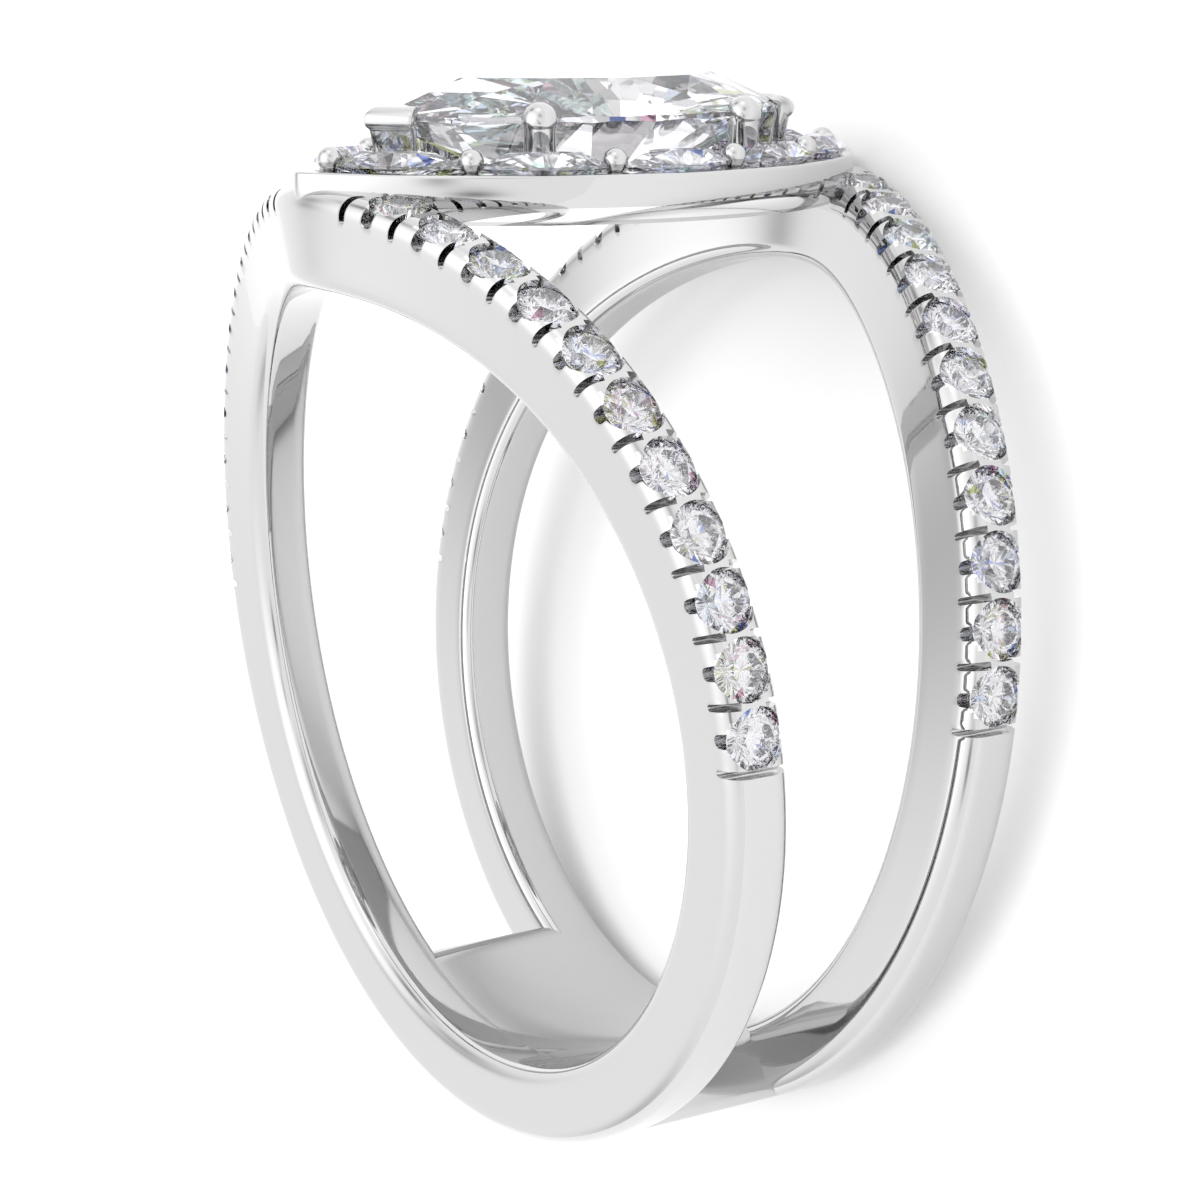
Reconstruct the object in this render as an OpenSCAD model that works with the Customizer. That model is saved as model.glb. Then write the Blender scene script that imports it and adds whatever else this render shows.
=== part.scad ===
// Split halo ring, lying on its side.
// Two rails run round the finger, spread apart from foot to head and meet at the two tips
// of a pointed-oval halo. It is worked out upright and laid down last:
// upright X goes across the shoulders, Y along the finger and Z from the foot up to the head.
// An angle round the finger is 0 at the foot, 90 at the shoulder and 180 at the head.

/* [Finger hole and rails] */
// Radius of the finger hole
bore_r = 8.5; // [8.3:0.05:8.8]
// Thickness of a rail halfway up, from the finger hole to its outside
rail_t = 1.85; // [1.7:0.01:1.95]
// How far the outside circle sits above the centre of the finger hole
outer_lift = 0.22; // [0.15:0.01:0.3]
// Width of a rail at the foot
rail_w_foot = 1.5; // [1.4:0.01:1.55]
// Width of a rail at the head
rail_w_head = 1.3; // [1.2:0.01:1.4]
// Half of the ring's width at the foot
foot_half = 2.94; // [2.8:0.01:3.1]
// How far each rail spreads from foot to head
spread_rise = 4.535; // [4.4:0.005:4.6]
// How far a rail's faces flare outward at the head, at the finger hole and at the outside
rail_flare = 0.12; // [0:0.01:0.15]
// Size of the flat cut along each edge of a rail
edge_cut = 0.15; // [0.1:0.01:0.2]

/* [Bridge] */
// Angle from the foot to each end of the bridge between the rails
bridge_angle = 29.5; // [20:0.5:40]

/* [Halo plate] */
// Clear height between the finger hole and the plate
plate_gap = 1.42; // [1.3:0.01:1.5]
// Thickness of the plate
plate_t = 0.92; // [0.85:0.01:1]
// Half of the plate's width across the shoulders
plate_half_w = 4.0; // [3.95:0.01:4.2]
// Half of the plate's length along the finger
plate_half_l = 7.0; // [6.95:0.01:7.1]
// Half of the width of the opening under the main stone
window_half_w = 2.0; // [1.8:0.05:2.1]
// Half of the length of the opening under the main stone
window_half_l = 4.4; // [4:0.05:4.5]

/* [Main stone and its prongs] */
// Half of the main stone's width
main_half_w = 2.5; // [2.4:0.01:2.55]
// Half of the main stone's length
main_half_l = 5.0; // [4.9:0.01:5.05]
// Height of the girdle's top over the plate
main_lift = 1.11; // [1.05:0.01:1.2]
// Height of the crown over the girdle
main_crown = 0.7; // [0.5:0.01:0.8]
// Depth of the pavilion under the girdle
main_depth = 2.1; // [1.8:0.05:2.2]
// Radius of a round prong
prong_r = 0.32; // [0.28:0.01:0.34]
// Distance of each round prong from the middle, along the finger
prong_y = 2.53; // [2.3:0.01:2.7]

/* [Halo stones] */
// Half of the width of the path that the halo stones sit on
path_half_w = 3.34; // [3.32:0.005:3.36]
// Half of the length of the path that the halo stones sit on
path_half_l = 6.2; // [6.15:0.01:6.25]
// Length of a halo stone
halo_len = 2.64; // [2.4:0.01:2.66]
// Width of a halo stone
halo_wid = 1.1; // [0.9:0.01:1.12]
// Radius of a bead between two halo stones
bead_r = 0.26; // [0.22:0.01:0.27]

/* [Stone rows] */
// Diameter of a round stone
pave_d = 1.18; // [1:0.01:1.18]
// Angle of the first stone, from the foot
pave_start = 95.3; // [94:0.1:97]
// Angle from one stone to the next
pave_step = 7.3; // [7.2:0.01:7.35]
// Width of the slit between two stones' prongs
slit_w = 0.12; // [0.08:0.01:0.14]
// Width of the notch at the side of each stone
notch_w = 0.34; // [0.2:0.01:0.36]

/* [Lying on its side] */
// Lean of the ring on the surface, from foot to head
lay_tilt = 11.65; // [11:0.05:13]

/* [Hidden] */
$fn = 96;

halo_count = 10;
halo_side = halo_count / 2;
pave_count = 11;
seat_gap = 0.03;
post_root = 0.2;
outer_r = bore_r + rail_t;
plate_z = bore_r + plate_gap;
plate_top = plate_z + plate_t;

// Rounding of the rails' turn at the head, in degrees: outward faces, then faces in the gap
soft_out = 8;
soft_in = 14;

// Distance from the middle of the finger to a rail's face, at an angle from 0 to 180
function face_y(a, soft) =
    foot_half + spread_rise * pow(1 - sqrt(pow(180 - a, 2) + soft * soft) / 180, 3);
function rail_w(a) = rail_w_foot + (rail_w_head - rail_w_foot) * a / 180;
function out_y(a) = face_y(a, soft_out);
function gap_y(a) = face_y(a, soft_in) - rail_w(a);
function flare(a) = rail_flare * pow(a / 180, 2);

// Middle of a rail's outside
function mid_y(a) = (out_y(a) + gap_y(a)) / 2 + flare(a);

// Distance from the finger hole's axis to the outside circle at an angle
function outer_at(a) = sqrt(outer_r * outer_r - pow(outer_lift * sin(a), 2)) - outer_lift * cos(a);

// Radius of the arcs of a pointed oval, and half of the angle that each arc spans
function arc_r(half_w, half_l) = (half_w * half_w + half_l * half_l) / (2 * half_w);
function arc_half(half_w, half_l) = asin(half_l / arc_r(half_w, half_l));

// Points round a pointed oval, from the tip on +Y and round by +X, with count points to each side
function oval_points(half_w, half_l, count) =
    let (r = arc_r(half_w, half_l), h = arc_half(half_w, half_l))
    concat([for (i = [0:count - 1]) let (b = h - 2 * h * i / count)
                [r * cos(b) - r + half_w, r * sin(b)]],
           [for (i = [0:count - 1]) let (b = -h + 2 * h * i / count)
                [r - half_w - r * cos(b), r * sin(b)]]);

// Points round a circle
function round_points(r, count) =
    [for (i = [0:count - 1]) r * [sin(360 * i / count), cos(360 * i / count)]];

path_r = arc_r(path_half_w, path_half_l);
path_half = arc_half(path_half_w, path_half_l);

// Angles of the band's rings: from one end of the bridge round the head to its other end,
// and then along the bridge
open_steps = 81;
foot_steps = 5;
open_turn = 360 - 2 * bridge_angle;
ring_angles = concat([for (i = [0:open_steps - 1]) bridge_angle + open_turn * i / open_steps],
                     [for (i = [0:foot_steps - 1]) 2 * bridge_angle * i / foot_steps - bridge_angle]);
ring_count = open_steps + foot_steps;

// The eight corners of a rail's section at an angle, as radius and distance along the finger
function rail_section(a) =
    let (o = out_y(a), g = gap_y(a), f = flare(a), low = bore_r, top = outer_at(a), cut = edge_cut)
    [[low, o - f - cut], [low + cut, o - f], [top - cut, o + f], [top, o + f - cut],
     [top, g + f + cut], [top - cut, g + f], [low + cut, g - f], [low, g - f + cut]];

// An angle counted the nearer way from the foot
function half_turn(a) = 180 - abs(180 - abs(a));

// Both rails and the bridge as one skin, with ring_count rings of n corners on each rail.
// Side 0 is the rail on +Y. Over the bridge the two rails' faces in the gap are left out,
// and the skin runs straight from one rail to the other.
module band() {
    n = 8;
    m = ring_count * n;
    pts = [for (side = [1, -1], a = ring_angles, s = rail_section(half_turn(a)))
               [s[0] * sin(a), side * s[1], -s[0] * cos(a)]];
    function at(side, i, j) = side * m + (i % ring_count) * n + j % n;
    function quad(a, b, c, d) = [[a, c, b], [a, d, c]];
    function strip(side, i, j) = side == 0
        ? quad(at(0, i, j), at(0, i + 1, j), at(0, i + 1, j + 1), at(0, i, j + 1))
        : quad(at(1, i, j), at(1, i, j + 1), at(1, i + 1, j + 1), at(1, i + 1, j));
    skin = [for (side = [0, 1], i = [0:ring_count - 1], j = [0:n - 1])
                if (i < open_steps || j < 4 || j == 7) each strip(side, i, j)];
    inner = [for (i = [open_steps:ring_count - 1]) each
                 quad(at(1, i, 7), at(1, i + 1, 7), at(0, i + 1, 7), at(0, i, 7))];
    outer = [for (i = [open_steps:ring_count - 1]) each
                 quad(at(0, i, 4), at(0, i + 1, 4), at(1, i + 1, 4), at(1, i, 4))];
    left_end = concat([for (j = [4:7]) at(0, open_steps, j)],
                      [for (j = [7:-1:4]) at(1, open_steps, j)]);
    right_end = concat([for (j = [7:-1:4]) at(0, 0, j)], [for (j = [4:7]) at(1, 0, j)]);
    polyhedron(points = pts, faces = concat(skin, inner, outer, [left_end, right_end]));
}

// A pointed oval with its tips on Y
module oval(half_w, half_l) {
    r = arc_r(half_w, half_l);
    intersection() {
        translate([half_w - r, 0]) circle(r = r);
        translate([r - half_w, 0]) circle(r = r);
    }
}

// Flat halo plate, open under the main stone
module halo_plate() {
    translate([0, 0, plate_z]) linear_extrude(height = plate_t) difference() {
        oval(plate_half_w, plate_half_l);
        oval(window_half_w, window_half_l);
    }
}

// Place of a point on the halo's path: side is 1 or -1, turn is the angle along its arc
module on_path(side, turn) {
    translate([side * (path_r * cos(turn) - path_r + path_half_w), path_r * sin(turn), 0])
        rotate([0, 0, side * turn]) children();
}

// A round bead on a short post
module bead() {
    translate([0, 0, plate_top - post_root]) cylinder(h = post_root + bead_r, r = 0.9 * bead_r);
    translate([0, 0, plate_top + bead_r]) sphere(r = bead_r);
}

// Beads at the halo's two tips and between its stones
module beads() {
    for (end = [-1, 1]) translate([0, end * path_half_l, 0]) bead();
    for (side = [-1, 1], i = [1:halo_side - 1])
        on_path(side, path_half * (2 * i / halo_side - 1)) bead();
}

// Four round prongs with domed tops, beside the main stone's girdle
module round_prongs() {
    r = arc_r(main_half_w, main_half_l);
    x = sqrt(r * r - prong_y * prong_y) - r + main_half_w + prong_r / 4;
    dome_z = main_lift + 0.05;
    for (sx = [-1, 1], sy = [-1, 1]) translate([sx * x, sy * prong_y, plate_top]) {
        translate([0, 0, -post_root]) cylinder(h = post_root + dome_z, r = prong_r);
        translate([0, 0, dome_z]) sphere(r = prong_r);
    }
}

// V-shaped prongs round the main stone's two points
module end_prongs() {
    side_wall = 0.3;
    tip_wall = 0.48;
    arm = 0.6;
    lip = 0.16;
    height = post_root + main_lift + lip;
    translate([0, 0, plate_top - post_root]) linear_extrude(height = height) intersection() {
        difference() {
            oval(main_half_w + side_wall, main_half_l + tip_wall);
            oval(main_half_w - side_wall, main_half_l - tip_wall);
        }
        for (end = [-1, 1]) translate([-main_half_w, end > 0 ? main_half_l - arm : -2 * main_half_l])
            square([2 * main_half_w, main_half_l + arm]);
    }
}

// A cut stone from the 16 points of its girdle, with the girdle's top at height 0.
// Table is the table's share of the width; crown, rim and depth are the heights of the crown,
// of the girdle's band and of the pavilion under it.
module cut_stone(girdle, table, crown, rim, depth) {
    star = 0.8;
    star_z = crown * (1 - star * cos(22.5)) / (1 - table);
    n = 16;
    pts = concat([for (k = [0:7]) [table * girdle[2 * k][0], table * girdle[2 * k][1], crown]],
                 [for (k = [0:7]) [star * girdle[2 * k + 1][0], star * girdle[2 * k + 1][1], star_z]],
                 [for (g = girdle) [g[0], g[1], 0]],
                 [for (g = girdle) [g[0], g[1], -rim]],
                 [[0, 0, -rim - depth]]);
    faces = concat([[for (k = [0:7]) k]],
                   [for (k = [0:7]) [(k + 1) % 8, k, 8 + k]],
                   [for (k = [0:7]) each [[k, 8 + (k + 7) % 8, n + 2 * k], [k, n + 2 * k, 8 + k]]],
                   [for (k = [0:7]) each [[8 + k, n + 2 * k, n + 2 * k + 1],
                                          [8 + k, n + 2 * k + 1, n + (2 * k + 2) % n]]],
                   [for (i = [0:n - 1]) [n + i, 2 * n + i, 2 * n + (i + 1) % n, n + (i + 1) % n]],
                   [for (i = [0:n - 1]) [2 * n + i, 3 * n, 2 * n + (i + 1) % n]]);
    polyhedron(points = pts, faces = faces);
}

// The main stone, grown by gap on every side where it is used to cut its own seat
module main_cut(gap) {
    table = 0.63;
    rim = 0.15;
    translate([0, 0, plate_top + main_lift + gap])
        cut_stone(oval_points(main_half_w + gap, main_half_l + 2 * gap, 8),
                  table, main_crown, rim + 2 * gap, main_depth + gap);
}

// One halo stone, with its girdle's top a little over the plate, grown by gap in the same way
module halo_cut(gap) {
    lift = 0.2;
    table = 0.6;
    crown = 0.24;
    rim = 0.08;
    depth = 0.45;
    translate([0, 0, plate_top + lift + gap])
        cut_stone(oval_points(halo_wid / 2 + gap, halo_len / 2 + 2 * gap, 8),
                  table, crown, rim + 2 * gap, depth + gap);
}

// Place of halo stone i, the first half of them on +X
module halo_at(i) {
    side = i <= halo_side ? 1 : -1;
    place = (i - 1) % halo_side;
    on_path(side, path_half * ((2 * place + 1) / halo_side - 1)) children();
}

// Place of stone k of a row: rail and shoulder are 1 or -1, local Z points away from the finger
module pave_at(rail, shoulder, k) {
    a = pave_start + k * pave_step;
    r = outer_at(a);
    translate([shoulder * r * sin(a), rail * mid_y(a), -r * cos(a)])
        rotate([0, shoulder * (180 - a), 0]) children();
}

pave_table = 0.56;
pave_crown = 0.19;
pave_rim = 0.05;
pave_depth = 0.5;

// Depth of the girdle's top under the rail's outside
pave_sink = 0.17;

// The round stones on one shoulder of a rail
module pave_row(rail, shoulder) {
    for (k = [0:pave_count - 1]) pave_at(rail, shoulder, k) translate([0, 0, -pave_sink])
        cut_stone(round_points(pave_d / 2, 16), pave_table, pave_crown, pave_rim, pave_depth);
}

// Round seat of one stone: a cone under the girdle and an open cylinder over it
module pave_seat() {
    r = pave_d / 2 + seat_gap;
    low = -pave_sink - pave_rim - seat_gap;
    rotate_extrude() polygon([[0, low - pave_depth], [r, low], [r, 1], [0, 1]]);
}

// Cuts right along the finger: slits between the stones, round-ended notches at their middles
module row_cuts() {
    cut_depth = 0.42;
    span = 4 * plate_half_l;
    for (shoulder = [-1, 1]) rotate([90, 0, 0]) linear_extrude(height = span, center = true) {
        for (k = [0:pave_count]) let (a = pave_start + (k - 0.5) * pave_step)
            rotate(shoulder * a - 90) translate([outer_at(a) - cut_depth, -slit_w / 2])
                square([1, slit_w]);
        for (k = [0:pave_count - 1]) let (a = pave_start + k * pave_step)
            rotate(shoulder * a - 90) translate([outer_at(a) - cut_depth + notch_w / 2, 0]) {
                circle(d = notch_w, $fn = 24);
                translate([0, -notch_w / 2]) square([1, notch_w]);
            }
    }
}

// Turns the upright ring onto its side, leaning on its foot and on one tip of the head
module lay() {
    rotate([lay_tilt - 90, 0, 0]) children();
}

module mounting() {
    color("gainsboro") lay() difference() {
        union() {
            difference() {
                band();
                row_cuts();
            }
            difference() {
                union() {
                    halo_plate();
                    beads();
                    round_prongs();
                    end_prongs();
                }
                main_cut(seat_gap);
            }
        }
        for (i = [1:halo_count]) halo_at(i) halo_cut(seat_gap);
        for (rail = [-1, 1], shoulder = [-1, 1], k = [0:pave_count - 1])
            pave_at(rail, shoulder, k) pave_seat();
    }
}

module center_stone() {
    color("aliceblue") lay() main_cut(0);
}

module halo_stone(i) {
    color("lightcyan") lay() halo_at(i) halo_cut(0);
}

module pave_stones(rail, shoulder) {
    color("azure") lay() pave_row(rail, shoulder);
}

mounting();
center_stone();
for (i = [1:halo_count]) halo_stone(i);
pave_stones(-1, 1);  // pave_upper_right
pave_stones(-1, -1);  // pave_upper_left
pave_stones(1, 1);  // pave_lower_right
pave_stones(1, -1);  // pave_lower_left
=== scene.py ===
import bpy
import numpy as np
from mathutils import Matrix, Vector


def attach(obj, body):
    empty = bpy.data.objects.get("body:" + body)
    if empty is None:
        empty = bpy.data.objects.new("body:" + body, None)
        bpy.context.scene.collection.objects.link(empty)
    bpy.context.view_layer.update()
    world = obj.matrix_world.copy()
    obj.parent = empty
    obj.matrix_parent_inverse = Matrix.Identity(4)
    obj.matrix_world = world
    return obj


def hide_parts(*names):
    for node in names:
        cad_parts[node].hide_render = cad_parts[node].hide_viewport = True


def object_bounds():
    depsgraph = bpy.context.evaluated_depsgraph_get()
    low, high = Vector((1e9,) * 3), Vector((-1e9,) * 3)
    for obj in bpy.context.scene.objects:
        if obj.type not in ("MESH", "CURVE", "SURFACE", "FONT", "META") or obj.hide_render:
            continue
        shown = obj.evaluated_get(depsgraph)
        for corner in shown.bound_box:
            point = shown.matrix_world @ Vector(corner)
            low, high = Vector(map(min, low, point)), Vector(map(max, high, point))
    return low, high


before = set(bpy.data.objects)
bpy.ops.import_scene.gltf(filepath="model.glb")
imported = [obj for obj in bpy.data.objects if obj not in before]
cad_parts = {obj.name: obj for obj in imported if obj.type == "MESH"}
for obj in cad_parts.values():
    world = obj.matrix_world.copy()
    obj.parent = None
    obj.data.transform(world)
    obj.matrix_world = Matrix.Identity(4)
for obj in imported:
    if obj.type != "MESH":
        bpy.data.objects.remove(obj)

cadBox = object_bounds()

# All sizes are in millimetres and all angles in degrees.
# The ring is worked out upright, as part.scad does it, and laid on its side as it goes into a mesh:
# X across the shoulders, Y along the finger, Z from the foot up to the head.
ring = {
    "boreRadius": 8.5,      # finger hole
    "thickness": 1.85,      # rail, from the finger hole to the outside, at the shoulders
    "outerLift": 0.22,      # the outside circle sits this much higher than the hole
    "widthFoot": 1.5,       # rail, along the finger
    "widthHead": 1.3,
    "footHalf": 2.94,       # half of the ring's width at the foot
    "spreadRise": 4.535,    # what the head's half width adds to that, before its corners are rounded
    "softOut": 8.0,         # angle over which the outward faces turn at the head
    "softIn": 14.0,         # the same for the faces in the gap
    "flare": 0.12,          # a rail's outside stands this much further out than its middle at the head
    "lean": 11.65,          # lean of the finger hole from upright as the ring lies
}
head = {
    "baseZ": 10.84,         # what beads and prongs stand on
    "girdleLift": 1.11,     # main stone's girdle over it
}


def hexColor(code, alpha=1.0):
    # sRGB hex to the linear values that Blender's sockets take: v / 12.92 in the dark,
    # ((v + 0.055) / 1.055) to the power of 2.4 elsewhere
    rgb = np.array([int(code[i:i + 2], 16) for i in (1, 3, 5)]) / 255
    return (*np.where(rgb <= 0.04045, rgb / 12.92, ((rgb + 0.055) / 1.055) ** 2.4), alpha)


def layDown(points):
    # upright millimetres to the row's metres: y' = y sin lean + z cos lean, z' = z sin lean - y cos lean
    t = np.radians(ring["lean"])
    x, y, z = np.moveaxis(np.asarray(points, float), -1, 0)
    return 0.001 * np.stack([x, y * np.sin(t) + z * np.cos(t), z * np.sin(t) - y * np.cos(t)], -1)


def faceDistance(angle, soft):
    # distance of a rail's face from the ring's middle: foot + rise * (1 - rest)^3, where rest is the share
    # of the half circle that is left up to the head, rounded over the soft angle
    rest = np.sqrt((180 - angle) ** 2 + soft ** 2) / 180
    return ring["footHalf"] + ring["spreadRise"] * (1 - rest) ** 3


def railShape(angle):
    # middle, width, thickness and flare of a rail at an angle of 0 to 180 degrees from the foot.
    # The outside is a circle round a point above the hole's middle, so the rail is thickest at the head
    width = ring["widthFoot"] + (ring["widthHead"] - ring["widthFoot"]) * angle / 180
    outward = faceDistance(angle, ring["softOut"])
    inward = faceDistance(angle, ring["softIn"]) - width
    a = np.radians(angle)
    outer = ring["boreRadius"] + ring["thickness"]
    outside = np.sqrt(outer ** 2 - (ring["outerLift"] * np.sin(a)) ** 2) - ring["outerLift"] * np.cos(a)
    flare = ring["flare"] * (angle / 180) ** 2
    return (outward + inward) / 2, outward - inward, outside - ring["boreRadius"], flare


def gridFaces(rowCount, colCount, closeRows=True):
    # quads between the points of a grid whose last column joins the first
    i = np.arange(rowCount if closeRows else rowCount - 1)[:, None]
    j = np.arange(colCount)[None, :]
    here, after = i * colCount, (i + 1) % rowCount * colCount
    nextJ = (j + 1) % colCount
    return np.stack([here + j, after + j, after + nextJ, here + nextJ], -1).reshape(-1, 4).tolist()


def outwardFaces(points, faces):
    # turns every face over if the closed shape's volume, the sum of its faces' triple products, is negative
    p = np.asarray(points)
    volume = sum(np.dot(p[f[0]], np.cross(p[f[k]], p[f[k + 1]])) for f in faces for k in range(1, len(f) - 1))
    return [f[::-1] for f in faces] if volume < 0 else faces


def joinShapes(shapes):
    # several (points, faces) as one
    points, faces, start = [], [], 0
    for p, f in shapes:
        points.append(np.asarray(p, float).reshape(-1, 3))
        faces += [[v + start for v in g] for g in f]
        start += len(points[-1])
    return np.vstack(points), faces


def meshObject(name, points, faces):
    mesh = bpy.data.meshes.new(name)
    mesh.from_pydata(np.asarray(points).tolist(), [], faces)
    mesh.validate()
    obj = bpy.data.objects.new(name, mesh)
    bpy.context.scene.collection.objects.link(obj)
    return obj


def applyModifiers(obj):
    bpy.context.view_layer.update()
    obj.data = bpy.data.meshes.new_from_object(obj.evaluated_get(bpy.context.evaluated_depsgraph_get()))
    obj.modifiers.clear()
    return obj


def cutAway(obj, cutters):
    # takes each cutter's (points, faces) out of obj, one after the other
    helpers = []
    for i, (points, faces) in enumerate(cutters):
        helper = meshObject(obj.name + "Cutter" + str(i), points, faces)
        cut = obj.modifiers.new("cut" + str(i), "BOOLEAN")
        cut.operation, cut.solver, cut.object = "DIFFERENCE", "MANIFOLD", helper
        helpers.append(helper)
    applyModifiers(obj)
    for helper in helpers:
        bpy.data.objects.remove(helper)
    return obj


def bevelEdges(obj, width, segments, angle):
    # rounds the edges whose faces meet at more than the angle
    bevel = obj.modifiers.new("edges", "BEVEL")
    bevel.width, bevel.segments, bevel.limit_method = width, segments, "ANGLE"
    bevel.angle_limit = np.radians(angle)
    return applyModifiers(obj)


def finishPiece(obj, material, smooth=None):
    # lays a piece that is still in upright millimetres onto its side, and hands it to the frame.
    # Edges up to the smooth angle are shaded round, and without that angle every facet stays flat
    mesh = obj.data
    points = np.empty(len(mesh.vertices) * 3)
    mesh.vertices.foreach_get("co", points)
    mesh.vertices.foreach_set("co", layDown(points.reshape(-1, 3)).ravel())
    mesh.polygons.foreach_set("use_smooth", np.full(len(mesh.polygons), smooth is not None))
    if smooth is not None:
        mesh.set_sharp_from_angle(angle=np.radians(smooth))
    mesh.materials.clear()
    mesh.materials.append(material)
    mesh.update()
    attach(obj, "root")
    return obj


def addNode(tree, kind, inputs=None, **settings):
    # adds a node, sets its properties, and sets or links its inputs
    node = tree.nodes.new(kind)
    for key, value in settings.items():
        setattr(node, key, value)
    for key, value in (inputs or {}).items():
        if isinstance(value, bpy.types.NodeSocket):
            tree.links.new(value, node.inputs[key])
        else:
            node.inputs[key].default_value = value
    return node


def newMaterial(name):
    material = bpy.data.materials.new(name)
    material.use_nodes = True
    tree = material.node_tree
    tree.nodes.clear()
    return material, tree


metal = {
    "color": "#c0c0c0",
    "paintedSeatLightColor": "#ebebeb",      # painted light: a lighter metal inside the stones' seats, where shade falls
    "strokeScale": 900.0,       # the polishing wheel's strokes per metre
    "sheen": (0.025, 0.06),     # least and most roughness
}


def polishedWhiteGold(name, paintSeatLight):
    # rhodium-plated 14 ct white gold, buffed to a mirror: a light metal whose sheen varies a little with
    # the last strokes of the polishing wheel. When asked, the faces inside the stones' seats get a lighter
    # colour: painted light where shade falls in the seats
    material, tree = newMaterial(name)
    where = addNode(tree, "ShaderNodeTexCoord")
    strokes = addNode(tree, "ShaderNodeTexNoise",
                      {"Vector": where.outputs["Object"], "Scale": metal["strokeScale"], "Detail": 2.0})
    least, most = metal["sheen"]
    rough = addNode(tree, "ShaderNodeMapRange",
                    {"Value": strokes.outputs["Fac"], "To Min": least, "To Max": most})
    plain, bright = hexColor(metal["color"]), hexColor(metal["paintedSeatLightColor"])
    shader = addNode(tree, "ShaderNodeBsdfPrincipled",
                     {"Base Color": plain, "Metallic": 1.0, "Roughness": rough.outputs["Result"]})
    # painted light: the seats' faces are mixed towards the lighter colour
    if paintSeatLight:
        cuts = addNode(tree, "ShaderNodeAttribute", attribute_name="paintedSeatLight")
        color = addNode(tree, "ShaderNodeMix", {0: cuts.outputs["Fac"], 6: plain, 7: bright},
                        data_type="RGBA")
        tree.links.new(color.outputs[2], shader.inputs["Base Color"])
    addNode(tree, "ShaderNodeOutputMaterial", {"Surface": shader.outputs["BSDF"]})
    return material


def cutDiamond(name):
    # cut and polished diamond: clear and very bright, index 2.42. Each facet carries a colour in a face
    # attribute, almost white on most:
    # painted colour flashes of blue, olive or plum stand in for the stone's fire, and painted grey shade on
    # some facets
    material, tree = newMaterial(name)
    paintedFlashesAndShade = addNode(tree, "ShaderNodeAttribute", attribute_name="paintedFlashesAndShade")
    shader = addNode(tree, "ShaderNodeBsdfGlass",
                     {"Color": paintedFlashesAndShade.outputs["Color"], "Roughness": 0.0, "IOR": 2.42})
    addNode(tree, "ShaderNodeOutputMaterial", {"Surface": shader.outputs["BSDF"]})
    return material


whiteGold = polishedWhiteGold("rhodiumPlatedWhiteGold", False)
goldWithPaintedSeatLight = polishedWhiteGold("engravedRhodiumPlatedWhiteGold", True)
centerDiamond = cutDiamond("marquiseDiamond")
haloDiamond = cutDiamond("haloDiamond")
rowDiamond = cutDiamond("meleeDiamond")
print("materials made")

rails = {
    "rings": 540,           # cross-sections round the ring
    "boreEdge": 0.34,       # rounding at the finger hole
    "outerEdge": 0.42,      # rounding at the outside
    "arcSteps": 9,
    "flatSteps": 5,
    "lip": 0.022,           # rounding of the cuts' edges
    "lipSteps": 2,
    "lipAngle": 38,
    "smooth": 32,
}
rows = {
    "count": 11,            # stones on one shoulder of a rail
    "start": 95.3,          # angle of the first stone from the foot
    "step": 7.3,
    "stone": 1.21,          # stone's diameter
    "sink": 0.17,           # girdle under the rail's outside
    "cut": {"table": 0.56, "crown": 0.19, "rim": 0.04, "depth": 0.5},
    "seat": 0.625,          # seat's radius
    "seatDrop": 0.08,       # seat's wall starts this much under the girdle
    "seatCone": 0.5,        # depth of the cone under it
    "seatRise": 0.7,        # how far the cutter stands out of the rail
    "seatSteps": 56,
    "slit": (0.17, 0.14, 0.52),     # width at the top, at the bottom, and depth
    "notch": (0.36, 0.27, 0.46),
    "slitEnd": 0.28,        # from the row's middle to where the slits between stones end
    "slotRise": 0.6,        # how far these cutters stand out of the rail
    "slotReach": 2.0,       # and how far they go along the finger
    "slotArc": 11,          # points round their bottom
}


def railLoft(side):
    # a rounded rectangle carried round the finger hole: its middle, width and thickness follow railShape.
    # A corner's middle lies its own radius inside both faces, and its points go a quarter round it
    turn = np.arange(rails["rings"]) * 360 / rails["rings"]
    middle, width, thick, flare = (v[:, None] for v in railShape(180 - np.abs(180 - turn)))
    bore, outer = rails["boreEdge"], rails["outerEdge"]
    cornerPlan = ((0, 1, 180, bore), (1, 1, 90, outer), (1, -1, 0, outer), (0, -1, -90, bore))
    corners = []
    for atOutside, along, first, r in cornerPlan:
        phi = np.radians(first - np.linspace(0, 90, rails["arcSteps"] + 1))[None, :]
        height = (thick - r if atOutside else r + 0 * thick) + r * np.cos(phi)
        corners.append(np.stack([height, along * (width / 2 - r) + r * np.sin(phi)], -1))
    loop = []
    share = (np.arange(1, rails["flatSteps"] + 1) / (rails["flatSteps"] + 1))[None, :, None]
    for corner, following in zip(corners, corners[1:] + corners[:1]):
        loop += [corner, corner[:, -1:] + (following[:, :1] - corner[:, -1:]) * share]
    height, along = np.moveaxis(np.concatenate(loop, 1), -1, 0)
    y = side * (middle + along + flare * (2 * height / thick - 1))
    a = np.radians(turn)[:, None]
    radius = ring["boreRadius"] + height
    points = np.stack([radius * np.sin(a), y, -radius * np.cos(a)], -1)
    return points.reshape(-1, 3), gridFaces(*height.shape)


def rowAngles(shift=0.0):
    # angles from the foot of the stones on both shoulders, moved on by a share of a step
    k = np.arange(rows["count"]) + shift
    a = rows["start"] + k * rows["step"]
    return np.concatenate([a, -a])


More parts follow.
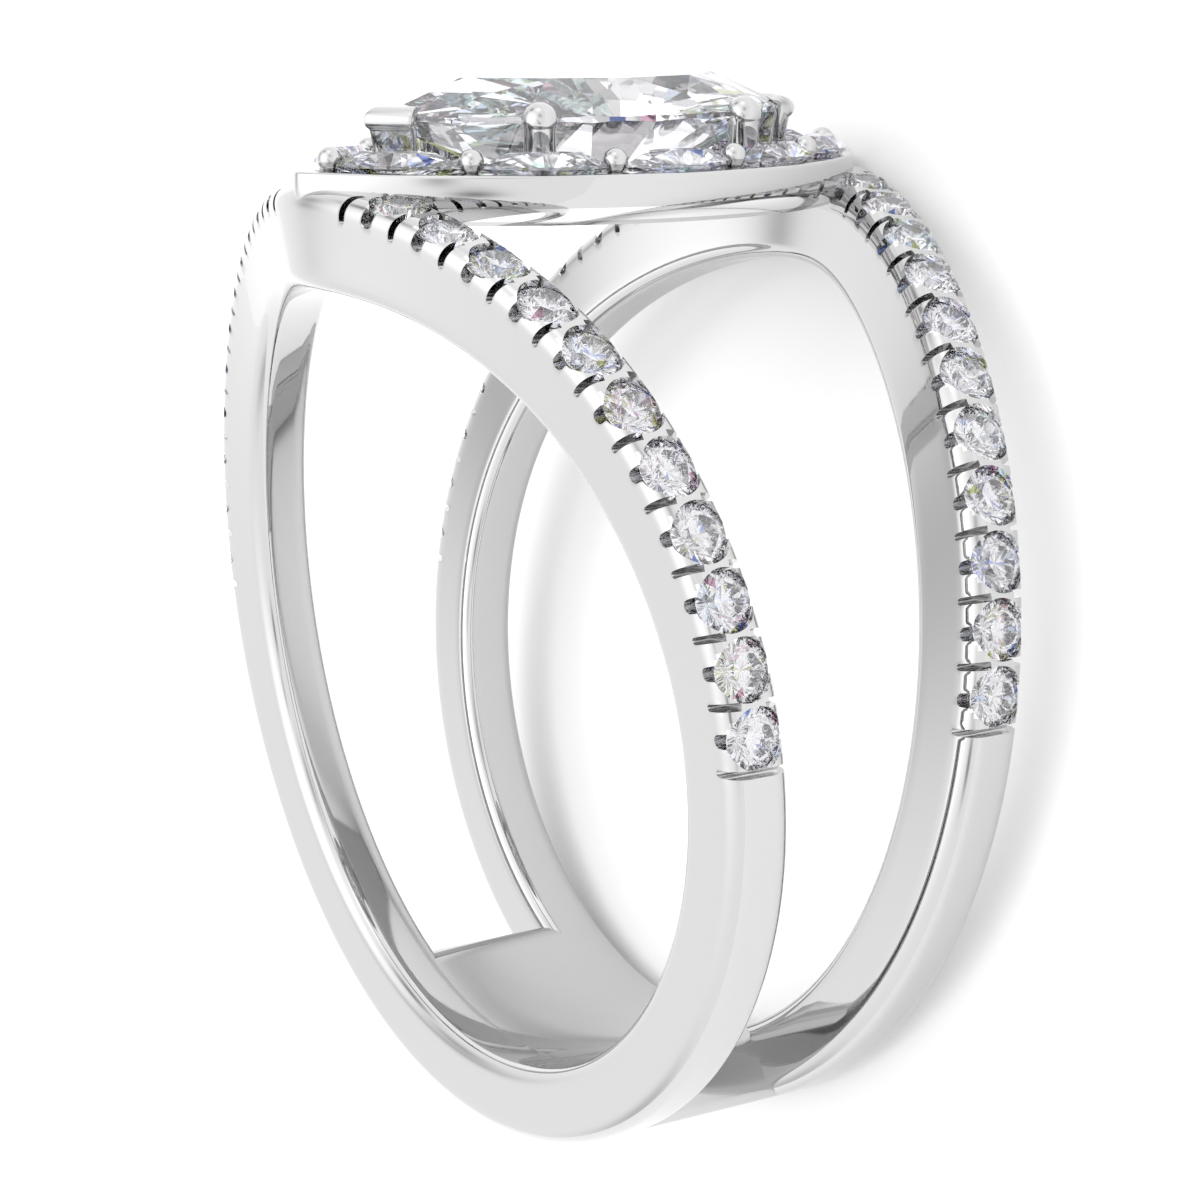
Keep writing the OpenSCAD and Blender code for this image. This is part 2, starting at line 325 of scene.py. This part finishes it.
def placeAt(template, angles, side, sink=0.0):
    # template points (tangent, along the finger, outward) set on a rail's outside at each angle,
    # turned about the finger's axis so that outward points away from the hole's middle
    middle, _, thick, flare = railShape(np.abs(angles))
    a = np.radians(angles)[:, None]
    radius = ring["boreRadius"] + thick[:, None] - sink + template[None, :, 2]
    x = radius * np.sin(a) + template[None, :, 0] * np.cos(a)
    y = side * (middle + flare)[:, None] + template[None, :, 1]
    z = -radius * np.cos(a) + template[None, :, 0] * np.sin(a)
    return np.stack([x, y, z], -1)


def placedShapes(template, faces, angles, side):
    return joinShapes([(p, outwardFaces(p, faces)) for p in placeAt(template, angles, side)])


def revolved(profile, steps):
    # a profile of (radius, height) turned about the upright axis, closed by a point at each end
    profile = np.asarray(profile, float)
    phi = np.arange(steps) * 2 * np.pi / steps
    radius, height = profile[1:-1, 0, None], profile[1:-1, 1, None]
    around = np.stack([radius * np.cos(phi), radius * np.sin(phi), np.repeat(height, steps, 1)], -1)
    points = np.vstack([around.reshape(-1, 3), [[0, 0, profile[0, 1]], [0, 0, profile[-1, 1]]]])
    rings = len(profile) - 2
    low, high, last = rings * steps, rings * steps + 1, (rings - 1) * steps
    faces = gridFaces(rings, steps, closeRows=False)
    faces += [[j, (j + 1) % steps, low] for j in range(steps)]
    faces += [[last + (j + 1) % steps, last + j, high] for j in range(steps)]
    return points, outwardFaces(points, faces)


def prismFaces(n):
    # faces of a prism whose two ends have n corners each
    sides = [[j, (j + 1) % n, n + (j + 1) % n, n + j] for j in range(n)]
    return [list(range(n))[::-1], list(range(n, 2 * n)), *sides]


def slotTemplate(slot, start, end):
    # a slot whose walls close in towards a round bottom: its outline in tangent and height,
    # drawn along the finger from start to end
    top, bottom, depth = slot
    rise = rows["slotRise"]
    phi = np.radians(np.linspace(180, 360, rows["slotArc"]))
    mouth = top / 2 + rise * (top - bottom) / 2 / depth
    floorArc = np.stack([bottom / 2 * np.cos(phi), bottom / 2 - depth + bottom / 2 * np.sin(phi)], -1)
    outline = np.vstack([[[-mouth, rise]], floorArc, [[mouth, rise]]])
    points = np.vstack([np.insert(outline, 1, y, axis=1) for y in (start, end)])
    return points, prismFaces(len(outline))


def markSeatLight(obj, inside):
    # marks, in the attribute that the metal reads, the faces whose middles lie in a seat, for painted light
    # where shade falls there
    middles = np.empty(len(obj.data.polygons) * 3)
    obj.data.polygons.foreach_get("center", middles)
    layer = obj.data.attributes.new("paintedSeatLight", "FLOAT", "FACE")
    layer.data.foreach_set("value", inside(*middles.reshape(-1, 3).T).astype(float))


# what counts as a seat's wall, which gets painted light
seatWall = {
    "past": 0.005,      # this much further out than the seat's radius
    "side": 0.03,       # this much off the rail's sides
    "from": 0.05,       # depths under the rail's outside
    "to": 0.85,
}


def inRailSeat(side):
    # true for a point within the seat's radius of the nearest stone's axis, and between its wall's ends
    def inside(x, y, z):
        angle = np.degrees(np.arctan2(np.abs(x), -z))
        middle, width, thick, flare = railShape(angle)
        stone = np.clip(np.round((angle - rows["start"]) / rows["step"]), 0, rows["count"] - 1)
        radius = np.hypot(x, z)
        tangent = np.radians(angle - rows["start"] - stone * rows["step"]) * radius
        sunk = ring["boreRadius"] + thick - radius
        along = side * y - middle - flare
        fromMiddle = along + 2 * flare * sunk / thick
        near = np.hypot(tangent, along) < rows["seat"] + seatWall["past"]
        return (near & (np.abs(fromMiddle) < width / 2 - seatWall["side"])
                & (sunk > seatWall["from"]) & (sunk < seatWall["to"]))
    return inside


def railCutters(side):
    # a seat and a notch at each stone, a slit right across where each row starts,
    # and between two stones a slit from each side up to the stones
    wide, low, high = rows["seat"], -rows["sink"] - rows["seatDrop"], rows["seatRise"]
    seat = revolved([[0, low - rows["seatCone"]], [wide, low], [wide, high], [0, high]], rows["seatSteps"])
    reach, end = rows["slotReach"], rows["slitEnd"]
    firstSlits = np.array([1, -1]) * (rows["start"] - rows["step"] / 2)
    return [placedShapes(*seat, rowAngles(), side),
            placedShapes(*slotTemplate(rows["slit"], -reach, reach), firstSlits, side),
            placedShapes(*slotTemplate(rows["slit"], -reach, -end), rowAngles(0.5), side),
            placedShapes(*slotTemplate(rows["slit"], end, reach), rowAngles(0.5), side),
            placedShapes(*slotTemplate(rows["notch"], -reach, reach), rowAngles(), side)]


metalPieces = []
for side, name in ((-1, "upperRail"), (1, "lowerRail")):
    points, faces = railLoft(side)
    rail = cutAway(meshObject(name, points, outwardFaces(points, faces)), railCutters(side))
    bevelEdges(rail, rails["lip"], rails["lipSteps"], rails["lipAngle"])
    # the seats' faces get painted light
    markSeatLight(rail, inRailSeat(side))
    metalPieces.append(finishPiece(rail, goldWithPaintedSeatLight, rails["smooth"]))
print("rails cut:", [len(o.data.polygons) for o in metalPieces])

bridge = {
    "angle": 29.5,              # half of the arc that it fills
    "outerEdge": (0.2, 0.2),    # rounding of its ends: along the arc, along the radius
    "boreEdge": (0.7, 0.45),    # the side to the finger rolls off gently
    "edgeSteps": 11,
    "flatSteps": 60,
    "overlap": 0.75,            # how far it goes into the rails
    "shy": 0.004,               # kept inside the rails' own faces, so that no two faces lie in one place
    "smooth": 35,
}


def bridgeShape():
    # a slab bent round the foot: its outline in angle and radius has elliptical corners,
    # run * (1 - cos) along the arc and rise * sin along the radius, and is drawn along the finger
    middle, width, thick, _ = railShape(np.array([bridge["angle"]]))
    inner = ring["boreRadius"] + bridge["shy"]
    outer = ring["boreRadius"] + thick[0] - bridge["shy"]
    quarter = np.radians(np.linspace(0, 90, bridge["edgeSteps"]))
    turns, radii = [], []
    for level, (run, rise), sign in ((outer, bridge["outerEdge"], 1), (inner, bridge["boreEdge"], -1)):
        cornerRadius = level - sign * rise
        sweep = bridge["angle"] - np.degrees(run * (1 - np.cos(quarter)) / cornerRadius)
        height = cornerRadius + sign * rise * np.sin(quarter)
        flat = np.linspace(sweep[-1], -sweep[-1], bridge["flatSteps"] + 2)[1:-1]
        turns += [sign * sweep, sign * flat, -sign * sweep[::-1]]
        radii += [height, np.full(len(flat), height[-1]), height[::-1]]
    turn, radius = np.concatenate(turns), np.concatenate(radii)
    # the outside circle is lifted, so the radius follows the rail's own there
    share = np.clip((radius - inner) / (outer - inner), 0, 1)
    radius = radius + share * (railShape(np.abs(turn))[2] - thick[0])
    a = np.radians(turn)
    half = middle[0] - width[0] / 2 + bridge["overlap"]
    points = np.vstack([np.stack([radius * np.sin(a), np.full(len(a), y), -radius * np.cos(a)], -1)
                        for y in (-half, half)])
    return points, outwardFaces(points, prismFaces(len(a)))


bridgePiece = meshObject("footBridge", *bridgeShape())
metalPieces.append(finishPiece(bridgePiece, whiteGold, bridge["smooth"]))
print("bridge made")


def pointedOval(halfWidth, halfLength, tip, offset=0.0, tipSteps=10, sideSteps=64):
    # outline of a pointed oval with rounded tips: four arcs, all grown by offset. A side's radius is the
    # one at which it runs into the tip's arc: (w^2 - t^2 + (l - t)^2) / (2 (w - t))
    r = (halfWidth ** 2 - tip ** 2 + (halfLength - tip) ** 2) / (2 * (halfWidth - tip))
    joint = np.arctan2(halfLength - tip, r - halfWidth)
    sideArc = np.linspace(-joint, joint, sideSteps, endpoint=False)
    tipArc = np.linspace(joint, np.pi - joint, tipSteps, endpoint=False)
    side = np.stack([halfWidth - r + (r + offset) * np.cos(sideArc), (r + offset) * np.sin(sideArc)], -1)
    top = np.stack([(tip + offset) * np.cos(tipArc), halfLength - tip + (tip + offset) * np.sin(tipArc)], -1)
    half = np.vstack([side, top])
    return np.vstack([half, -half])


plate = {
    "rim": (4.0, 6.98, 0.3),        # half width, half length and tip radius
    "window": (2.0, 4.4, 0.4),      # the same for the opening under the main stone
    "top": 10.88,
    "low": 9.87,
    "edge": 0.06,                   # rounding of the rim's top edge
    "edgePoints": 6,
    "wall": 0.24,                   # upright part of the wall
    "turn": 46,                     # how far the rest of the wall turns under
    "turnPoints": 14,
    "windowEdge": 0.08,
    "smooth": 35,
}


def plateShape():
    # the rim's and the window's outline joined by a flat top, a flat underside and a wall
    # that is upright at the top and turns under like the side of a boat
    low, top, edge, bevel = plate["low"], plate["top"], plate["edge"], plate["windowEdge"]
    levels = []
    for phi in np.radians(np.linspace(90, 0, plate["edgePoints"])):
        levels.append(("rim", edge * (np.cos(phi) - 1), top - edge + edge * np.sin(phi)))
    start = top - edge - plate["wall"]
    r = (start - low) / np.sin(np.radians(plate["turn"]))
    for phi in np.radians(np.linspace(0, plate["turn"], plate["turnPoints"])):
        levels.append(("rim", r * (np.cos(phi) - 1), start - r * np.sin(phi)))
    for offset, z in ((bevel, low), (0.0, low + bevel), (0.0, top - bevel), (bevel, top)):
        levels.append(("window", offset, z))
    loops = []
    for outline, offset, z in levels:
        loop = pointedOval(*plate[outline], offset)
        loops.append(np.hstack([loop, np.full((len(loop), 1), z)]))
    faces = gridFaces(len(loops), len(loops[0]))
    points = np.vstack(loops)
    return points, outwardFaces(points, faces)


# what every stone's facets share: sizes as shares of the stone's radius, heights as shares of crown or depth
brilliantCut = {
    "star": 0.52,           # stars' reach from the table to the girdle
    "lower": 0.76,          # lower halves' reach from the girdle to the culet
    "starHeight": 1.02,     # corners between stars stand a little over a straight crown
    "mainHeight": 0.985,    # and those between lower halves a little over a straight pavilion
    "fine": 4,              # steps of the girdle between two facet corners
}


def brilliant(outline, table, crown, rim, depth, lift=0.0):
    # a brilliant from its girdle: outline(angle) gives the girdle's point at each of the angles.
    # Table, stars, kites and upper halves over the girdle; lower halves, mains and a culet under it.
    # The girdle between two facet corners follows the outline, and its height follows the facet's plane
    fine = brilliantCut["fine"]
    n = 16 * fine
    corner = outline(np.arange(16) * 22.5)
    between = outline(np.arange(n) * 22.5 / fine)
    even, odd = corner[0::2], corner[1::2]
    tablePoints = np.hstack([table * even, np.full((8, 1), crown)])
    starR = table + brilliantCut["star"] * (1 - table)
    starZ = crown * (1 - starR) / (1 - table) * brilliantCut["starHeight"]
    starPoints = np.hstack([starR * odd, np.full((8, 1), starZ)])
    mainR = 1 - brilliantCut["lower"]
    mainZ = -rim - depth * (1 - mainR) * brilliantCut["mainHeight"]
    mainPoints = np.hstack([mainR * odd, np.full((8, 1), mainZ)])

    def edgePoints(apexes, base):
        # fine girdle points at the height of the plane through a half facet's apex and its two corners
        heights = np.full(n, float(base))
        for j in range(16):
            first, last = np.append(corner[j], base), np.append(corner[(j + 1) % 16], base)
            normal = np.cross(last - first, apexes[j // 2] - first)
            for k in range(j * fine + 1, (j + 1) * fine):
                heights[k] = base - normal[:2] @ (between[k] - first[:2]) / normal[2]
        return np.hstack([between, heights[:, None]])

    upper, under = edgePoints(starPoints, 0.0), edgePoints(mainPoints, -rim)
    points = np.vstack([tablePoints, starPoints, upper, under, mainPoints, [[0, 0, -rim - depth]]])
    up, down, mains, culet = 16, 16 + n, 16 + 2 * n, 24 + 2 * n
    faces = [list(range(8))]
    for k in range(8):
        g = 2 * k * fine
        faces.append([k, 8 + k, (k + 1) % 8])
        faces.append([k, 8 + (k + 7) % 8, up + g])
        faces.append([k, up + g, 8 + k])
        faces.append([culet, mains + k, down + g])
        faces.append([culet, down + g, mains + (k + 7) % 8])
        for first in (g, g + fine):
            run = [(first + m) % n for m in range(fine + 1)]
            faces.append([8 + k] + [up + m for m in run])
            faces.append([mains + k] + [down + m for m in run[::-1]])
    for m in range(n):
        faces.append([up + m, down + m, down + (m + 1) % n, up + (m + 1) % n])
    points[:, 2] += lift
    return points, outwardFaces(points, faces)


def roundOutline(radius, turn):
    return lambda deg: radius * np.stack([np.cos(np.radians(deg + turn)), np.sin(np.radians(deg + turn))], -1)


def arcRadius(halfWidth, halfLength):
    # radius of the two arcs of a pointed oval: (w^2 + l^2) / 2w
    return (halfWidth ** 2 + halfLength ** 2) / (2 * halfWidth)


def marquiseOutline(halfWidth, halfLength):
    # a pointed oval's two arcs, with the tips at 90 and 270 degrees of the running angle
    r = arcRadius(halfWidth, halfLength)
    half = np.arcsin(halfLength / r)

    def outline(deg):
        deg = np.asarray(deg, float) % 360
        right = (deg <= 90) | (deg > 270)
        share = np.where(right, np.where(deg > 270, deg - 360, deg) / 90, (180 - deg) / 90)
        x = r * np.cos(share * half) - r + halfWidth
        return np.stack([np.where(right, x, -x), r * np.sin(share * half)], -1)
    return outline


center = {
    "halfWidth": 2.5,
    "halfLength": 5.0,
    "cut": {"table": 0.63, "crown": 0.7, "rim": 0.15, "depth": 2.1},
    "clear": "#fafafb",
}
halo = {
    "pathWidth": 3.34,      # half width and half length of the pointed oval that the stones stand on
    "pathLength": 6.2,
    "count": 10,
    "length": 2.58,
    "width": 1.12,
    "cut": {"table": 0.58, "crown": 0.25, "rim": 0.07, "depth": 0.45},
    "lift": 0.2,            # girdle over the plate
    "seatGap": 0.03,
    "clear": "#fafafb",
    "bead": 0.26,           # radius of a bead between two stones
    "beadFrom": -68,        # latitude at which its ball leaves its foot
    "beadRoot": 0.15,       # how far its foot goes into the plate
    "beadPoints": (14, 28), # up its side and round it
    "beadSmooth": 50,
}
perSide = halo["count"] // 2
girdleZ = head["baseZ"] + head["girdleLift"]
pathR = arcRadius(halo["pathWidth"], halo["pathLength"])
pathHalf = np.degrees(np.arcsin(halo["pathLength"] / pathR))


def onPath(points, side, turn):
    # moves points to a place on the halo's path: side is 1 or -1, turn the angle along its arc
    t = np.radians(turn)
    a = side * t
    toSide = side * (pathR * np.cos(t) - pathR + halo["pathWidth"])
    x = points[:, 0] * np.cos(a) - points[:, 1] * np.sin(a) + toSide
    y = points[:, 0] * np.sin(a) + points[:, 1] * np.cos(a) + pathR * np.sin(t)
    return np.stack([x, y, points[:, 2]], -1)


def haloPlace(i):
    # side and angle of halo stone i, which stands in the middle of its share of the arc
    return (1 if i <= perSide else -1), pathHalf * ((2 * ((i - 1) % perSide) + 1) / perSide - 1)


def haloStoneShape(grow=0.0):
    cut = halo["cut"]
    outline = marquiseOutline(halo["width"] / 2 + grow, halo["length"] / 2 + 2 * grow)
    return brilliant(outline, cut["table"], cut["crown"], cut["rim"] + 2 * grow, cut["depth"] + grow,
                     lift=head["baseZ"] + halo["lift"] + grow)


# Painted light on the facets: painted colour flashes and painted grey shade that a facet may carry, each with
# its share of the facets; the rest are almost clear
paintedFlashesAndShade = {
    "#bcbabb": 0.09,   # painted grey shade
    "#dbe4f6": 0.03,   # pale blue
    "#8f9bd2": 0.015,  # blue
    "#c6c99a": 0.02,   # olive
    "#cfa9bd": 0.012,  # plum
    "#d6e8e0": 0.008,  # green
}
chance = np.random.default_rng(7)


def paintFlashesAndShade(stone, clear, strength=1.0):
    # gives each facet one colour of the table of painted flashes and shade, or the clear one; strength
    # multiplies the table's shares, and a table facet, the only one with eight corners, stays clear
    mesh = stone.data
    tints = np.array([hexColor(code) for code in [clear, *paintedFlashesAndShade]])
    shares = strength * np.array(list(paintedFlashesAndShade.values()))
    corners = np.empty(len(mesh.polygons), int)
    mesh.polygons.foreach_get("loop_total", corners)
    pick = chance.choice(len(tints), len(corners), p=[1 - shares.sum(), *shares])
    picked = tints[np.where(corners == 8, 0, pick)]
    # painted colour flashes and painted grey shade, stored per facet corner
    layer = mesh.color_attributes.new("paintedFlashesAndShade", "FLOAT_COLOR", "CORNER")
    layer.data.foreach_set("color", np.repeat(picked, corners, 0).ravel())


def rowShape(side, shoulder):
    # the round stones of one shoulder, each turned by chance
    shapes = []
    for angle in rowAngles()[:rows["count"]] * shoulder:
        points, faces = brilliant(roundOutline(rows["stone"] / 2, chance.uniform(0, 45)), **rows["cut"])
        placed = placeAt(points, np.array([angle]), side, rows["sink"])[0]
        shapes.append((placed, outwardFaces(placed, faces)))
    return joinShapes(shapes)


centerOutline = marquiseOutline(center["halfWidth"], center["halfLength"])
centerStone = meshObject("centerMarquise", *brilliant(centerOutline, **center["cut"], lift=girdleZ))
paintFlashesAndShade(centerStone, center["clear"])
finishPiece(centerStone, centerDiamond)
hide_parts("center_stone")
for i in range(1, halo["count"] + 1):
    points, faces = haloStoneShape()
    stone = meshObject("haloMarquise" + str(i), onPath(points, *haloPlace(i)), faces)
    paintFlashesAndShade(stone, halo["clear"])
    finishPiece(stone, haloDiamond)
    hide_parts("halo_stone_" + str(i))

# which rail, which shoulder, the scene's name and the part's node
rowPieces = (
    (-1, 1, "upperRightRow", "pave_upper_right"),
    (-1, -1, "upperLeftRow", "pave_upper_left"),
    (1, 1, "lowerRightRow", "pave_lower_right"),
    (1, -1, "lowerLeftRow", "pave_lower_left"),
)
# painted colour flashes and painted grey shade on the rows' facets, at 0.6 of the table's shares
rowPaintedFlashes = {"clear": "#f3f3f4", "strength": 0.6}
for side, shoulder, name, node in rowPieces:
    stones = meshObject(name, *rowShape(side, shoulder))
    paintFlashesAndShade(stones, **rowPaintedFlashes)
    finishPiece(stones, rowDiamond)
    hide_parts(node)
print("stones cut")

# what counts as a halo seat's wall, which gets painted light
haloWall = {
    "reach": 0.6,       # distance from the halo's path
    "under": 0.02,      # this much under the plate's top
    "over": 0.1,        # and over its underside
}


def inHaloSeat(x, y, z):
    fromPath = np.abs(np.hypot(np.abs(x) + pathR - halo["pathWidth"], y) - pathR)
    level = (z < plate["top"] - haloWall["under"]) & (z > plate["low"] + haloWall["over"])
    return (fromPath < haloWall["reach"]) & level


plateObject = meshObject("haloPlate", *plateShape())
seatPoints, seatFaces = haloStoneShape(halo["seatGap"])
seats = [(onPath(seatPoints, *haloPlace(i)), seatFaces) for i in range(1, halo["count"] + 1)]
cutAway(plateObject, [joinShapes(seats[0::2]), joinShapes(seats[1::2])])
# the halo seats' faces get painted light
markSeatLight(plateObject, inHaloSeat)
metalPieces.append(finishPiece(plateObject, goldWithPaintedSeatLight, plate["smooth"]))


def ballPost(radius, low, middle, latitude, steps):
    # a round post from a low level up to a ball, which it meets at a latitude under the ball's middle;
    # steps are the points up the ball's side and round it
    phi = np.radians(np.linspace(latitude, 90, steps[0]))
    ball = np.stack([radius * np.cos(phi), middle + radius * np.sin(phi)], -1)
    profile = np.vstack([[[0, low]], [[ball[0, 0], low]], ball[:-1], [[0, middle + radius]]])
    return revolved(profile, steps[1])


def beadShapes():
    # a bead at each tip and one between every two halo stones
    base, radius = head["baseZ"], halo["bead"]
    points, faces = ballPost(radius, base - halo["beadRoot"], base + radius, halo["beadFrom"],
                             halo["beadPoints"])
    shapes = [(points + [0, end * halo["pathLength"], 0], faces) for end in (-1, 1)]
    for side in (-1, 1):
        shapes += [(onPath(points, side, pathHalf * (2 * i / perSide - 1)), faces) for i in range(1, perSide)]
    return shapes


haloBeads = meshObject("haloBeads", *joinShapes(beadShapes()))
metalPieces.append(finishPiece(haloBeads, whiteGold, halo["beadSmooth"]))

prongs = {
    "radius": 0.37,         # ball of a round prong
    "ballFrom": -27,        # latitude at which it leaves its post
    "ballDrop": 0.08,       # ball's middle under the main stone's girdle
    "root": 0.2,            # how far its post goes into the plate
    "ballPoints": (16, 40), # up its ball's side and round it
    "alongFinger": 2.53,    # place of each round prong
    "tipArm": 0.74,         # length of a V-shaped prong's arms
    "tipSteps": 25,         # cross-sections along both arms
    "tipEdge": (0.08, 4, 35),       # rounding, its steps and the least angle of an edge that gets it
    "seatGap": 0.01,        # between prongs and stone
    "smooth": 40,
    # a V-shaped prong's wall in cross-section: distance out from the girdle, height over it
    "tipWall": ((0.08, -1.25), (0.17, -0.7), (0.24, -0.28), (0.31, -0.24), (0.35, -0.16), (0.35, -0.05),
                (0.31, 0.04), (0.22, 0.12), (0.1, 0.17), (-0.04, 0.18), (-0.14, 0.16), (-0.2, 0.11),
                (-0.14, 0.0), (-0.05, -0.2), (-0.14, -0.7), (-0.26, -1.25)),
}
mainR = arcRadius(center["halfWidth"], center["halfLength"])
mainHalf = np.arcsin(center["halfLength"] / mainR)


def roundProngShapes():
    # a post with a ball worked on its end, four times, a quarter of the ball's radius out from the girdle
    points, faces = ballPost(prongs["radius"], head["baseZ"] - prongs["root"], girdleZ - prongs["ballDrop"],
                             prongs["ballFrom"], prongs["ballPoints"])
    y = prongs["alongFinger"]
    x = np.sqrt(mainR ** 2 - y ** 2) - mainR + center["halfWidth"] + prongs["radius"] / 4
    return [(points + [sx * x, sy * y, 0], faces) for sx in (-1, 1) for sy in (-1, 1)]


def tipProngShape(end):
    # a V-shaped wall round a tip of the main stone: the wall's cross-section carried along both sides
    # of the tip, at each distance on an arc of the girdle's radius plus that distance, and mitred at the tip
    wall = np.array(prongs["tipWall"])
    u = np.linspace(-1, 1, prongs["tipSteps"])[:, None]
    out = wall[None, :, 0]
    apex = np.arccos((mainR - center["halfWidth"]) / (mainR + out))
    last = mainHalf - prongs["tipArm"] / mainR
    b = apex - np.abs(u) * (apex - last)
    x = np.sign(u) * ((mainR + out) * np.cos(b) - mainR + center["halfWidth"])
    y = end * (mainR + out) * np.sin(b)
    points = np.stack([x, y, np.broadcast_to(girdleZ + wall[None, :, 1], x.shape)], -1).reshape(-1, 3)
    n = len(wall)
    faces = gridFaces(len(u), n, closeRows=False)
    faces += [list(range(n)), list(range((len(u) - 1) * n, len(u) * n))[::-1]]
    return points, outwardFaces(points, faces)


def grownCenter():
    # the main stone a little larger all round, which cuts the prongs' seats
    gap, cut = prongs["seatGap"], center["cut"]
    outline = marquiseOutline(center["halfWidth"] + gap, center["halfLength"] + 2 * gap)
    return brilliant(outline, cut["table"], cut["crown"], cut["rim"] + 2 * gap, cut["depth"],
                     lift=girdleZ + gap)


roundProngs = cutAway(meshObject("roundProngs", *joinShapes(roundProngShapes())), [grownCenter()])
metalPieces.append(finishPiece(roundProngs, whiteGold, prongs["smooth"]))
tipProngs = meshObject("tipProngs", *joinShapes([tipProngShape(-1), tipProngShape(1)]))
cutAway(bevelEdges(tipProngs, *prongs["tipEdge"]), [grownCenter()])
metalPieces.append(finishPiece(tipProngs, whiteGold, prongs["smooth"]))
for piece in metalPieces:
    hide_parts("mounting")
print("head made")

studio = {
    "floorRadius": 1.5,         # metres
    "floorDrop": 0.00001,       # floor under the ring, metres
    "floorColor": "#fafafa",
    "skyColor": "#ffffff",
    "skyLevel": 1.38,
    "bounces": 24,              # light runs to and fro inside a cut stone many times
    "mirrorBounces": 16,
}
# Soft boxes, brighter, and flags, darker, of the light tent: azimuth from +X, elevation, spread, amount
tent = {
    "overheadBox": (0, 90, 30, 1.1),
    "headBox": (80, 26, 13, 0.65),
    "backFlag": (-174, 40, 13, -0.6),
    "farBackFlag": (158, 38, 12, -0.65),
    "cameraFlag": (-22, 30, 8, -0.95),
    "plateFlag": (-8, 45, 6, -0.65),
    "shoulderFlag": (32, 32, 12, -0.65),
    "headFlag": (120, 38, 10, -1.0),
    "footFlag": (-112, 6, 14, -0.5),
}


def floorDisc(steps=96):
    # flat disc at the height that the ring rests at
    phi = np.arange(steps) * 2 * np.pi / steps
    z = np.full(steps, cadBox[0][2] - studio["floorDrop"])
    points = np.stack([studio["floorRadius"] * np.cos(phi), studio["floorRadius"] * np.sin(phi), z], -1)
    return points, [list(range(steps))]


def mattPaper():
    # a sweep of matt white paper, with hardly any sheen
    material, tree = newMaterial("mattWhitePaper")
    white = hexColor(studio["floorColor"])
    shader = addNode(tree, "ShaderNodeBsdfPrincipled",
                     {"Base Color": white, "Roughness": 0.9, "Specular IOR Level": 0.1})
    addNode(tree, "ShaderNodeOutputMaterial", {"Surface": shader.outputs["BSDF"]})
    return material


floor = meshObject("paperSweep", *floorDisc())
floor.data.materials.append(mattPaper())

world = bpy.data.worlds.new("softStudio")
world.use_nodes = True
scene = bpy.context.scene
scene.world = world
scene.view_settings.view_transform = "Standard"     # the photograph's whites are clipped to plain white
scene.cycles.max_bounces = studio["bounces"]
scene.cycles.glossy_bounces = studio["mirrorBounces"]
scene.cycles.transmission_bounces = studio["bounces"]


def lightTent(tree):
    # brightness of a direction d: level + sum of amount * exp(-2 (1 - d.c) / spread^2),
    # c the middle of a box or flag
    where = addNode(tree, "ShaderNodeTexCoord").outputs["Generated"]
    total = studio["skyLevel"]
    for azimuth, elevation, spread, amount in tent.values():
        a, e = np.radians(azimuth), np.radians(elevation)
        middle = (np.cos(a) * np.cos(e), np.sin(a) * np.cos(e), np.sin(e))
        sharp = 2 / np.radians(spread) ** 2
        dot = addNode(tree, "ShaderNodeVectorMath", {0: where, 1: middle}, operation="DOT_PRODUCT")
        power = addNode(tree, "ShaderNodeMath", {0: dot.outputs["Value"], 1: sharp, 2: -sharp},
                        operation="MULTIPLY_ADD")
        lobe = addNode(tree, "ShaderNodeMath", {0: power.outputs[0]}, operation="EXPONENT")
        light = addNode(tree, "ShaderNodeMath", {0: lobe.outputs[0], 1: amount, 2: total},
                        operation="MULTIPLY_ADD")
        total = light.outputs[0]
    return total


sky = world.node_tree
sky.nodes["Background"].inputs["Color"].default_value = hexColor(studio["skyColor"])
sky.links.new(lightTent(sky), sky.nodes["Background"].inputs["Strength"])

# camera round the upright ring, as solved from the photograph: lens and distances in millimetres
view = {
    "lens": 91.29,
    "sensor": 36,
    "pitch": 12.45,
    "yaw": 56.47,
    "roll": 0.313,
    "distance": 66.69,
    "right": 0.29,      # aims this much beside and over the finger hole's middle
    "up": 1.30,
}


def photoCamera():
    # looks down by the pitch and across by the yaw from its distance, is turned by the roll about its own
    # axis, and is carried over to the ring as it lies
    pitch, yaw, roll = (np.radians(view[k]) for k in ("pitch", "yaw", "roll"))
    forward = np.array([-np.sin(yaw) * np.cos(pitch), np.cos(yaw) * np.cos(pitch), -np.sin(pitch)])
    right = np.array([np.cos(yaw), np.sin(yaw), 0])
    up = np.cross(right, forward)
    place = -forward * view["distance"] + right * view["right"] + up * view["up"]
    right, up = right * np.cos(roll) + up * np.sin(roll), up * np.cos(roll) - right * np.sin(roll)
    axes = np.column_stack([layDown(v) * 1000 for v in (right, up, -forward)])
    data = bpy.data.cameras.new("photoCamera")
    data.lens, data.sensor_width = view["lens"], view["sensor"]
    data.clip_start, data.clip_end = 0.001, 10      # metres
    obj = bpy.data.objects.new("photoCamera", data)
    obj.matrix_world = Matrix.Translation(layDown(place)) @ Matrix(axes.tolist()).to_4x4()
    bpy.context.scene.collection.objects.link(obj)
    bpy.context.scene.camera = obj


photoCamera()
print("studio set")
